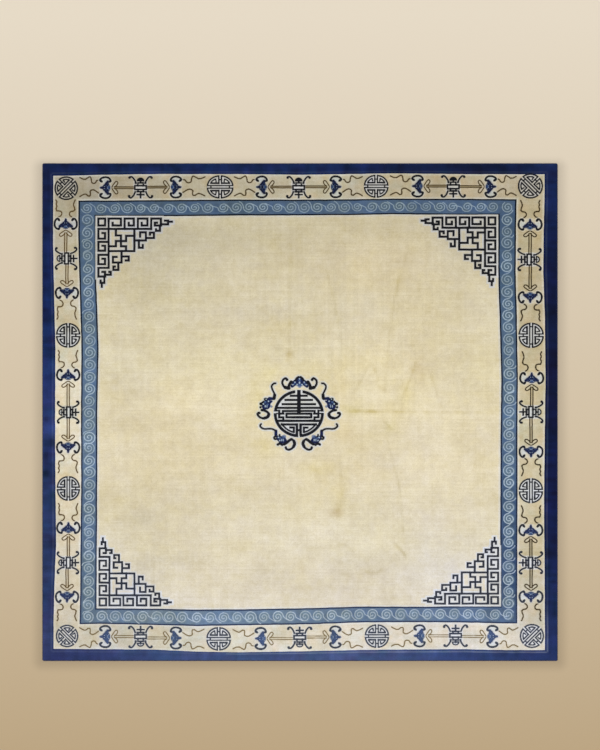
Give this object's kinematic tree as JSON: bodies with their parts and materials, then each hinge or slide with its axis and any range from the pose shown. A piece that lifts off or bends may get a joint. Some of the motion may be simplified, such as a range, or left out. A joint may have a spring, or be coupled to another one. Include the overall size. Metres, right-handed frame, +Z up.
{
  "type": "peking rug",
  "caption": "Near-square hand-knotted wool rug with navy edge, ivory motif border, blue scroll border, key-fret corners and a round centre medallion.",
  "frame": {"origin": "middle of the rug's back, in the plane that rests on the floor", "axes": "+Z up out of the pile, +X along the wider side, +Y along the shorter side"},
  "size_m": [3.5, 3.38, 0.009],
  "materials": {
    "wool_pile": "hand-knotted wool pile, shorn, soft matt sheen, navy, blue, ivory and ochre yarns"
  },
  "bodies": {
    "root": {"rug": "wool_pile"}
  },
  "joints": []
}
